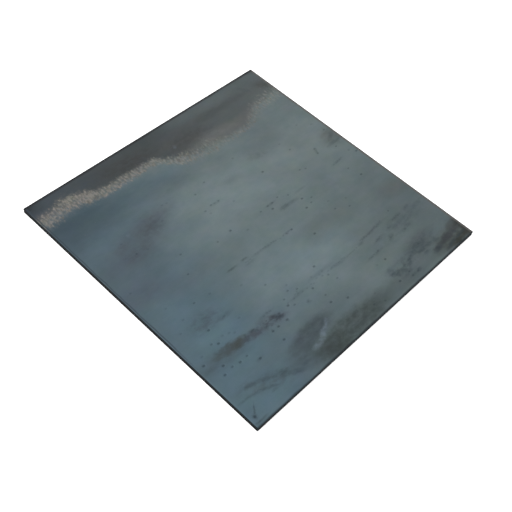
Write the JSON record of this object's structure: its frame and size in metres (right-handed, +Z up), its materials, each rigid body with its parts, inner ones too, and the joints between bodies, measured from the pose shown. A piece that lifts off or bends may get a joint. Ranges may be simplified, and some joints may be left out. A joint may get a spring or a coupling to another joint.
{
  "type": "steel plate",
  "caption": "Square flat plate of hot-rolled mild steel with mill scale on its faces and sheared edges.",
  "frame": {"origin": "middle of the underside", "axes": "+Z up out of the upper face, +X along the rolling direction, +Y across it"},
  "size_m": [0.3, 0.3, 0.005],
  "materials": {
    "hot_rolled_steel": "blue-grey mill scale, semi-matt, streaked along the rolling direction, with a pale worn band, dark patches and small pits; cut edges dark"
  },
  "bodies": {
    "root": {"steel_plate": "hot_rolled_steel"}
  },
  "joints": []
}
